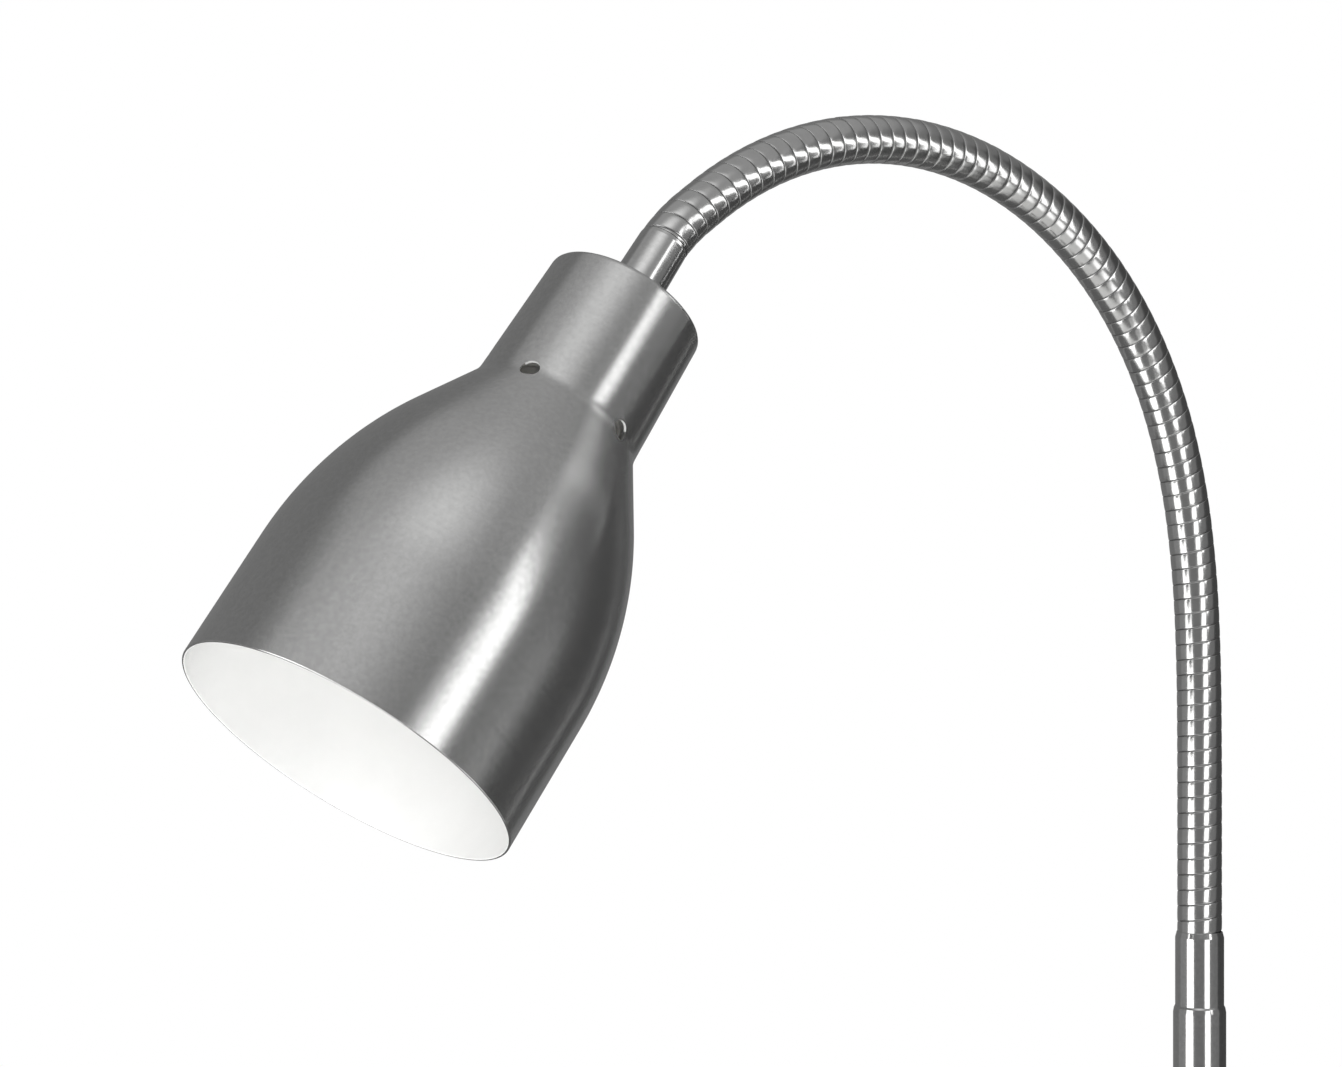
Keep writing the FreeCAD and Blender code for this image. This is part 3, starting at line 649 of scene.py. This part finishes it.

# %% [markdown]
# ## The strip's finish
#
# The strip is rolled steel with the same nickel on it. Towards the groove between two
# turns its colour is painted darker, as painted shade in the recess, and the metal is
# duller there. The UV map runs from 0 to 1 across the strip, which tells the material
# how near the groove is.


# %% The strip's finish
def strip_finish():
    """Nickel-plated strip, duller in the groove between its turns, with painted shade darkening it there."""
    finish = Finish("neck strip", NICKEL, 0.2, 1.0, Anisotropic=0.3)
    uv = finish.nodes.new("ShaderNodeUVMap")
    uv.uv_map = "turned"
    split = finish.nodes.new("ShaderNodeSeparateXYZ")
    finish.links.new(uv.outputs["UV"], split.inputs[0])
    wave = finish.nodes.new("ShaderNodeMath")
    wave.operation = "PINGPONG"
    wave.inputs[1].default_value = 0.5
    finish.links.new(split.outputs["X"], wave.inputs[0])
    tangent = finish.nodes.new("ShaderNodeTangent")
    tangent.direction_type = "UV_MAP"
    tangent.uv_map = "turned"
    finish.feed("Tangent", tangent.outputs["Tangent"])
    cloud = finish.group(HANDLED, Scale=220.0)
    outside_painted_groove_shade = finish.ranged(wave.outputs[0], 0, 1, 0.0, 0.06)
    metal = finish.blended(finish.ranged(cloud, 0, 1), (0.55, 0.55, 0.545), (0.61, 0.61, 0.605))
    # Painted shade: the colour goes dark, down to 0.28, towards the groove between turns.
    finish.feed("Base Color", finish.blended(outside_painted_groove_shade, (0.28, 0.28, 0.28), metal))
    finish.feed("Roughness", finish.ranged(outside_painted_groove_shade, 0.5, 0.19, 0, 1))
    finish.bumped(finish.group(HANDLED, Scale=380.0), 3e-5)
    return finish.material


STRIP = strip_finish()
print("strip ready")

# %% [markdown]
# ## Laying the neck
#
# The first stretch comes out of the sleeve, so it bends only above the sleeve's mouth.
# The last one is cut square where the ferrule starts, because the real strip is cut
# off there, and it bends more sharply, as the neck in the picture does under the
# head's weight. At three hinges the strip is cut square instead, and each half rides
# on its own link: there the blend's numbers run away when every joint is at its limit.
# A thin tongue under the cut fills the gap that opens on the outside of such a bend.

# %% Laying the neck
FERRULE_START = 5.5
STRIP_END = FERRULE_START - 0.05
HEAD_REACH, HEAD_BLEND_BEFORE, HEAD_BLEND_AFTER = 10*MM, 9*MM, 4*MM
CUT_AT = (5, 7, 8)
TONGUE = [(7.2, -3), (7.7, -3), (7.7, 1.9), (7.2, 1.9)]
half_link = link_long/2
after_head = hinge_at[-1] + head_way*link_long
before_first = hinge_at[0] - Vector((0, 0, link_long))
line = [before_first] + hinge_at + [after_head]
neck_faces = 0


def cut_off(maker, place, way):
    """Cuts a winding square at a place, drops what lies beyond it and closes the end."""
    geom = maker.verts[:] + maker.edges[:] + maker.faces[:]
    cut = bmesh.ops.bisect_plane(maker, geom=geom, plane_co=place, plane_no=way, clear_outer=True)
    rim = [item for item in cut["geom_cut"] if isinstance(item, bmesh.types.BMEdge)]
    bmesh.ops.edgeloop_fill(maker, edges=rim)


def strip_piece(name, maker):
    """A winding as a finished object of nickel strip."""
    piece = finished(name, maker, crisp=50)
    piece.data.materials.append(STRIP)
    return piece


for number, hinge in enumerate(hinge_at):
    last = number == len(hinge_at) - 1
    before, after = line[number], line[number + 2]
    reach = HEAD_REACH if last else half_link
    spot, long = arc_path(hinge, before, after, reach)
    if number == 0:
        maker = wound(spot, half_link, half_link, TURNS)
    elif last:
        maker = wound(spot, 0, half_link*4/3, TURNS + 1)
        cut_off(maker, hinge + head_way*STRIP_END*MM, head_way)
    elif number in CUT_AT:
        middle, way = spot(long/2)
        for half, side in enumerate((way, -way)):
            maker = wound(spot, 0, long, 2*TURNS)
            cut_off(maker, middle, side)
            piece = strip_piece("neck_stretch_%02d_%s" % (number + 1, "ab"[half]), maker)
            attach(piece, bodies[number + half])
            neck_faces += len(piece.data.polygons)
        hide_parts("neck_link_%02d" % (number + 1))
        place = Matrix.Translation(middle) @ way.to_track_quat("Z", "Y").to_matrix().to_4x4()
        tongue = lathe("neck_tongue_%02d" % (number + 1), TONGUE, place)
        tongue.data.materials.append(TUBE_NICKEL)
        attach(tongue, bodies[number])
        continue
    else:
        maker = wound(spot, 0, long, 2*TURNS)
    piece = strip_piece("neck_stretch_%02d" % (number + 1), maker)
    if number == 0:
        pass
    elif last:
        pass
    else:
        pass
    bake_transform(piece)
    if not last:
        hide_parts("neck_link_%02d" % (number + 1))
    neck_faces += len(piece.data.polygons)
print("neck faces:", neck_faces)

# %% [markdown]
# ## The head: ferrule and shade
#
# The shade is one sheet, spun over a form: a narrow neck, a soft crease, a bell and
# a nearly straight band down to the rim. All of that is one outline, turned with
# its own thickness. Five round vents let the heat out at the crease. The faces that
# look into the shade get the enamel, all others the nickel.

# %% Ferrule and shade
SHADE_TOP, SHADE_LONG, RIM_R, SKIN = 30.843, 170, 55, 0.9
CREASE, NECK_LOW_R, NECK_TOP_R, BELL_CORNER = 76.967, 27.6, 26, 125.794
RIM = SHADE_TOP + SHADE_LONG
HEAD_BORE, ENAMEL_R = 5.2, 50*MM
ferrule = lathe("neck_ferrule", [
    (SLEEVE_BORE, FERRULE_START), (7.85, FERRULE_START, 0.2), (8.1, FERRULE_START + 1.3, 0.5),
    (8.6, SHADE_TOP), (SLEEVE_BORE, SHADE_TOP)], HEAD)
mounted(ferrule, "head", "satin_nickel", ["head_ferrule"], TUBE_NICKEL)
shade = lathe("shade_bell", [
    (HEAD_BORE, SHADE_TOP), (NECK_TOP_R, SHADE_TOP, 1.6), (27.2, 66), (27.3, 70), (NECK_LOW_R, CREASE, 10),
    (RIM_R, BELL_CORNER, 122.6), (RIM_R, RIM, 0.3), (RIM_R - SKIN, RIM, 0.3),
    (RIM_R - SKIN, BELL_CORNER, 122.6), (NECK_LOW_R - SKIN, CREASE, 10), (27.3 - SKIN, 70), (27.2 - SKIN, 66),
    (NECK_TOP_R - SKIN, SHADE_TOP + SKIN, 0.7), (HEAD_BORE, SHADE_TOP + SKIN)], HEAD, steps=WIDE_STEPS)
VENTS, VENT_R, VENT_TURN = 5, 3, -29.8
vents = []
for number in range(VENTS):
    turn = Matrix.Rotation(math.radians(VENT_TURN + 360*number/VENTS), 4, "Z")
    aim = HEAD @ turn @ Matrix.Translation((0, 0, CREASE*MM)) @ Matrix.Rotation(math.radians(90), 4, "Y")
    vents.append(lathe("vent_%d" % number, [(0, 20), (VENT_R, 20), (VENT_R, 40), (0, 40)], aim, 40,
                       closed=False))
shade = pierced(shade, vents, crisp=30)
mounted(shade, "head", "satin_nickel", ["shade_shell"], SPUN_NICKEL, ENAMEL)
outwards = HEAD.inverted()
turned_out = outwards.to_3x3()
for face in shade.data.polygons:
    spot, normal = outwards @ face.center, turned_out @ face.normal
    inside = normal.xy.dot(spot.xy.normalized()) < -0.12 or (normal.z > 0.5 and spot.xy.length < ENAMEL_R)
    face.material_index = int(inside)
print("shade faces:", len(shade.data.polygons))

# %% [markdown]
# ## Lampholder and bulb
#
# Looking up into the shade, there is a plastic lampholder with fine grip ribs and a
# bulb screwed into it. The bulb's cap has turned rings for its thread, its housing
# flares smoothly, and the frosted dome sits in a small step on the housing.

# %% Lampholder and bulb
CAP_LOW, CAP_R, CAP_BORE = 37.243, 19.5, 17.5
SKIRT_LOW, SKIRT_TOP = CAP_LOW + 17, CAP_LOW + 53
holder_cap = lathe("holder_cap", [
    (ROD_HOLE_R, CAP_LOW), (CAP_R, CAP_LOW, 6), (CAP_R, SKIRT_LOW, 0.4), (CAP_BORE, SKIRT_LOW),
    (CAP_BORE, CAP_LOW + 2, 4), (ROD_HOLE_R, CAP_LOW + 2)], HEAD)
mounted(holder_cap, "head", "holder_plastic", ["lampholder_cap"], HOLDER_PLASTIC)
skirt_outline = [(CAP_BORE, SKIRT_LOW), (CAP_R, SKIRT_LOW, 0.4)]
RIBS, RIB_STEP, RIB_DEEP = 6, 4, 0.6
for rib in range(RIBS):
    height = SKIRT_LOW + RIB_STEP + rib*RIB_STEP
    skirt_outline += [(CAP_R, height, 0.2), (CAP_R - RIB_DEEP, height + 0.5, 0.2),
                      (CAP_R - RIB_DEEP, height + 1.1, 0.2), (CAP_R, height + 1.6, 0.2)]
skirt_outline += [(CAP_R, SKIRT_TOP, 0.75), (CAP_BORE, SKIRT_TOP, 0.5)]
holder_skirt = lathe("holder_skirt", skirt_outline, HEAD)
mounted(holder_skirt, "head", "holder_plastic", ["lampholder_skirt"], HOLDER_PLASTIC)

BULB_CAP_LOW, THREAD_R, THREAD_DEEP, THREAD_PITCH, THREAD_TURNS = 63.843, 13, 0.6, 3.5, 5
BULB_CAP_TOP = BULB_CAP_LOW + 23
HOUSING_TOP, DOME_R, BULB_END = BULB_CAP_TOP + 36, 30, 167.243
thread = [(12.1, BULB_CAP_LOW), (12.4, BULB_CAP_LOW)]
for turn in range(THREAD_TURNS):
    low = BULB_CAP_LOW + turn*THREAD_PITCH
    thread += [(THREAD_R, low + THREAD_PITCH/2, 0.9), (THREAD_R - THREAD_DEEP, low + THREAD_PITCH, 0.5)]
thread += [(12.4, BULB_CAP_TOP), (12.1, BULB_CAP_TOP)]
bulb_cap = lathe("bulb_screw_cap", thread, HEAD)
mounted(bulb_cap, "bulb", "bulb_metal", ["bulb_cap"], BULB_METAL)
DOME_MIDDLE = BULB_END - DOME_R
dome_edge = math.sqrt(DOME_R**2 - (DOME_MIDDLE - HOUSING_TOP)**2)
housing = lathe("bulb_housing_cone", [
    (12, BULB_CAP_TOP), (13.5, BULB_CAP_TOP, 0.4), (15.3, BULB_CAP_TOP + 7, 12),
    (dome_edge, HOUSING_TOP - 0.6, 0.4), (dome_edge, HOUSING_TOP), (dome_edge - 1.5, HOUSING_TOP)], HEAD)
mounted(housing, "bulb", "bulb_plastic", ["bulb_housing"], BULB_PLASTIC)
from_edge = math.atan2(dome_edge - 0.5, HOUSING_TOP - DOME_MIDDLE)
DOME_STEPS, DOME_INNER = 28, 0.96
outer = []
for step in range(DOME_STEPS):
    lean = from_edge*(1 - step/DOME_STEPS)
    outer.append((DOME_R*math.sin(lean), DOME_MIDDLE + DOME_R*math.cos(lean)))
outer.append((0, BULB_END))
inner = [(0, BULB_END - 1.2)]
for radius, height in reversed(outer[:-1]):
    inner.append((radius*DOME_INNER, DOME_MIDDLE + (height - DOME_MIDDLE)*DOME_INNER))
dome = lathe("bulb_dome", outer + inner, HEAD)
mounted(dome, "bulb", "bulb_frost", ["bulb_diffuser"], FROST)
print("bulb ends", round(RIM - BULB_END, 1), "mm inside the rim")

# %% [markdown]
# ## The pieces that stay as they are
#
# Weight, nuts, washers, leads and contacts already have their right shape in the
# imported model, so they keep it and only get a finish each.

# %% The pieces that stay as they are
FINISHES = {"zinc_steel": ZINC, "cast_iron": CAST_IRON, "lead_sheath": SHEATH, "core_ceramic": CERAMIC,
            "brass": BRASS, "bulb_glass": BLACK_GLASS, "holder_plastic": HOLDER_PLASTIC,
            "bulb_metal": BULB_METAL}
kept = 0
for part in frame["record"]["subparts"]:
    node = frame["nodes"][part["node"]]
    if node.hide_render:
        continue
    node.data.materials.clear()
    node.data.materials.append(FINISHES[part["material_slot"]])
    kept += 1
print("nodes kept:", kept)

# %% [markdown]
# ## Studio
#
# Metal shows what stands round it, so a lamp of metal is lit by placing bright and
# dark cards. Bright cards to the left and right give the white streaks down the pole
# and the shade, and a ribbon close to the arch carries one streak on round the bend. A
# grey tent gives the calm grey between the streaks, and dark cards behind and below
# give the darker edges. The cards are seen only in reflections; soft area lights do
# the plain lighting, and the background is white to the camera.


# %% Cards
STUDIO = Vector((-0.10, 0, 1.34))
TO_CAMERA = Vector((-0.6319, -0.7750, 0))
TO_RIGHT = Vector((0.7750, -0.6319, 0))


def direction(azimuth, elevation):
    """The way to a spot round the lamp: 0 towards the camera, positive to its right and upwards."""
    turn, lift = math.radians(azimuth), math.radians(elevation)
    flat = TO_CAMERA*math.cos(turn) + TO_RIGHT*math.sin(turn)
    return flat*math.cos(lift) + Vector((0, 0, math.sin(lift)))


def card(name, azimuth, elevation, wide, high, glow, distance=1.3, soft=0.12):
    """A glowing card that only reflections show, its width and height angles as the lamp sees them."""
    maker = bmesh.new()
    maker.loops.layers.uv.new("card")
    bmesh.ops.create_grid(maker, x_segments=1, y_segments=1, size=0.5, calc_uvs=True)
    broad, tall = (2*distance*math.tan(math.radians(angle/2)) for angle in (wide, high))
    bmesh.ops.scale(maker, vec=Vector((broad, tall, 1)), verts=maker.verts)
    piece = finished(name, maker)
    way = direction(azimuth, elevation)
    facing = (-way).to_track_quat("Z", "Y").to_matrix().to_4x4()
    piece.data.transform(Matrix.Translation(STUDIO + way*distance) @ facing)
    lit_card(piece, glow, soft)


def ribbon(name, path, half, glow):
    """A glowing card that follows a path in a plane of constant Y, twice half wide."""
    maker = bmesh.new()
    rims = []
    for index, point in enumerate(path):
        way = path[min(index + 1, len(path) - 1)] - path[max(index - 1, 0)]
        side = Vector((0, 1, 0)).cross(way).normalized()*half
        rims.append([maker.verts.new(point - side), maker.verts.new(point + side)])
    for (one, two), (three, four) in zip(rims, rims[1:]):
        maker.faces.new((one, two, four, three))
    lit_card(finished(name, maker), glow)


def lit_card(piece, glow, soft=0):
    """Gives a card its glow, faded at its edges where it is soft, and hides it from all but reflections."""
    material = bpy.data.materials.new(piece.name)
    material.use_nodes = True
    nodes, links = material.node_tree.nodes, material.node_tree.links
    nodes.remove(nodes["Principled BSDF"])
    shine = nodes.new("ShaderNodeEmission")
    shine.inputs["Color"].default_value = (1, 1, 1, 1)
    shine.inputs["Strength"].default_value = glow
    surface = shine.outputs[0]
    if soft:
        fade = nodes.new("ShaderNodeMixShader")
        links.new(edge_fade(nodes, links, soft), fade.inputs[0])
        links.new(nodes.new("ShaderNodeBsdfTransparent").outputs[0], fade.inputs[1])
        links.new(surface, fade.inputs[2])
        surface = fade.outputs[0]
    links.new(surface, nodes["Material Output"].inputs["Surface"])
    piece.data.materials.append(material)
    piece.visible_camera = False
    piece.visible_diffuse = False
    piece.visible_transmission = False
    piece.visible_shadow = False
    piece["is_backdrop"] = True


def edge_fade(nodes, links, soft):
    """A value that is 1 over the middle of a card's UV square and falls to 0 at its edges."""
    uv = nodes.new("ShaderNodeUVMap")
    uv.uv_map = "card"
    split = nodes.new("ShaderNodeSeparateXYZ")
    links.new(uv.outputs["UV"], split.inputs[0])
    both = nodes.new("ShaderNodeMath")
    both.operation = "MULTIPLY"
    for index, axis in enumerate("XY"):
        inwards = nodes.new("ShaderNodeMath")
        inwards.operation = "PINGPONG"
        inwards.inputs[1].default_value = 0.5
        links.new(split.outputs[axis], inwards.inputs[0])
        ramp = nodes.new("ShaderNodeMapRange")
        ramp.interpolation_type = "SMOOTHSTEP"
        ramp.inputs["From Max"].default_value = soft
        links.new(inwards.outputs[0], ramp.inputs["Value"])
        links.new(ramp.outputs["Result"], both.inputs[index])
    return both.outputs[0]


TENT_R, TENT_GLOW = 3.2, 0.23
maker = bmesh.new()
bmesh.ops.create_uvsphere(maker, u_segments=48, v_segments=24, radius=TENT_R)
bmesh.ops.translate(maker, vec=STUDIO, verts=maker.verts)
lit_card(finished("tent", maker), TENT_GLOW)
card("left strip", -54, -24, 36, 108, 3.0, soft=0.08)
card("left grey", -95, -5, 43, 63, 0.32, 1.5)
card("right strip", 31, -9, 24, 30, 3.0, soft=0.08)
card("right low box", 55, -40, 28, 24, 2.0, soft=0.2)
card("right high box", 51, 14, 11, 34, 3.6, soft=0.25)
card("front high", -6, 54, 64, 52, 1.15, 1.1, soft=0.5)
card("ceiling", 30, 72, 100, 110, 0.42, 1.6, soft=0.2)
card("back dark", 122, -16, 72, 100, 0.08, 1.2)
card("low back dark", 161, -53, 82, 48, 0.12, 0.8)
card("low left dark", -140, -55, 81, 52, 0.16, 0.8)
card("low front dark", -4, -40, 42, 45, 0.22, 0.9)
ARCH_HALF, ARCH_GLOW, ARCH_Y = 0.016, 2.6, -0.10
ARCH_LIGHT = [(-35, 1380), (-35, 1405), (-48, 1434), (-85, 1449), (-130, 1455), (-195, 1455)]
ribbon("arch strip", [Vector((x*MM, ARCH_Y, z*MM)) for x, z in ARCH_LIGHT], ARCH_HALF, ARCH_GLOW)

# %% [markdown]
# ## Floor, lamps and world
#
# The floor is a wide, pale, matt disc that fades out far from the lamp. Large area
# lights, one on each side and one above, are bright enough together that a colour
# renders about as it is written, and a small one from below lights the shade's mouth.

# %% Floor, lamps and world
FLOOR_R, FADE_FROM, FADE_TO = 3, 0.9, 2.8


def floor_finish():
    """A pale, matt sheet that fades out far from the lamp, so that no edge of it shows."""
    finish = Finish("pale floor", (0.86, 0.86, 0.85), 0.8)
    paper = finish.group(HANDLED, Scale=90.0)
    mottle = finish.blended(finish.ranged(paper, 0, 1), (0.85, 0.85, 0.84), (0.87, 0.87, 0.86))
    finish.feed("Base Color", mottle)
    finish.bumped(paper, 2e-5)
    spot = finish.nodes.new("ShaderNodeTexCoord")
    away = finish.nodes.new("ShaderNodeVectorMath")
    away.operation = "LENGTH"
    finish.links.new(spot.outputs["Object"], away.inputs[0])
    finish.feed("Alpha", finish.ranged(away.outputs["Value"], 1, 0, FADE_FROM, FADE_TO))
    return finish.material


maker = bmesh.new()
bmesh.ops.create_circle(maker, cap_ends=True, segments=96, radius=FLOOR_R)
floor = finished("floor", maker)
floor.data.materials.append(floor_finish())
floor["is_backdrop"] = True


def soft_light(name, azimuth, elevation, distance, size, power):
    """A square area light, aimed at the lamp and not seen in reflections."""
    light = bpy.data.lights.new(name, "AREA")
    light.shape = "SQUARE"
    light.size = size
    light.energy = power
    lamp = bpy.data.objects.new(name, light)
    way = direction(azimuth, elevation)
    facing = way.to_track_quat("Z", "Y").to_matrix().to_4x4()
    lamp.matrix_world = Matrix.Translation(STUDIO + way*distance) @ facing
    lamp.visible_glossy = False
    lamp.visible_camera = False
    scene.collection.objects.link(lamp)


soft_light("key", -50, 25, 2.2, 1.4, 20)
soft_light("fill", 50, 20, 2.4, 1.4, 12)
soft_light("top", 10, 80, 1.8, 2.0, 12)
soft_light("mouth", -13, -25, 1.2, 0.6, 8)

WORLD_LIGHT, WORLD_SEEN = 0.55, 1.0
world = bpy.data.worlds.new("studio")
scene.world = world
world.use_nodes = True
nodes, links = world.node_tree.nodes, world.node_tree.links
rays = nodes.new("ShaderNodeLightPath")
seen = nodes.new("ShaderNodeMath")
seen.operation = "MAXIMUM"
links.new(rays.outputs["Is Camera Ray"], seen.inputs[0])
links.new(rays.outputs["Is Glossy Ray"], seen.inputs[1])
seen_all = nodes.new("ShaderNodeMath")
seen_all.operation = "MAXIMUM"
links.new(seen.outputs[0], seen_all.inputs[0])
links.new(rays.outputs["Is Transmission Ray"], seen_all.inputs[1])
strength = nodes.new("ShaderNodeMapRange")
strength.inputs["To Min"].default_value = WORLD_LIGHT
strength.inputs["To Max"].default_value = WORLD_SEEN
links.new(seen_all.outputs[0], strength.inputs["Value"])
background = nodes["Background"]
background.inputs["Color"].default_value = (1, 1, 1, 1)
links.new(strength.outputs["Result"], background.inputs["Strength"])
scene.view_settings.view_transform = "Standard"
print("lights ready")

# %% [markdown]
# ## Measure and finish
#
# The box that the dressed lamp fills is printed.

# %% Measure and finish
low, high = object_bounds()
print("visual box", [round(v, 4) for v in low], [round(v, 4) for v in high])
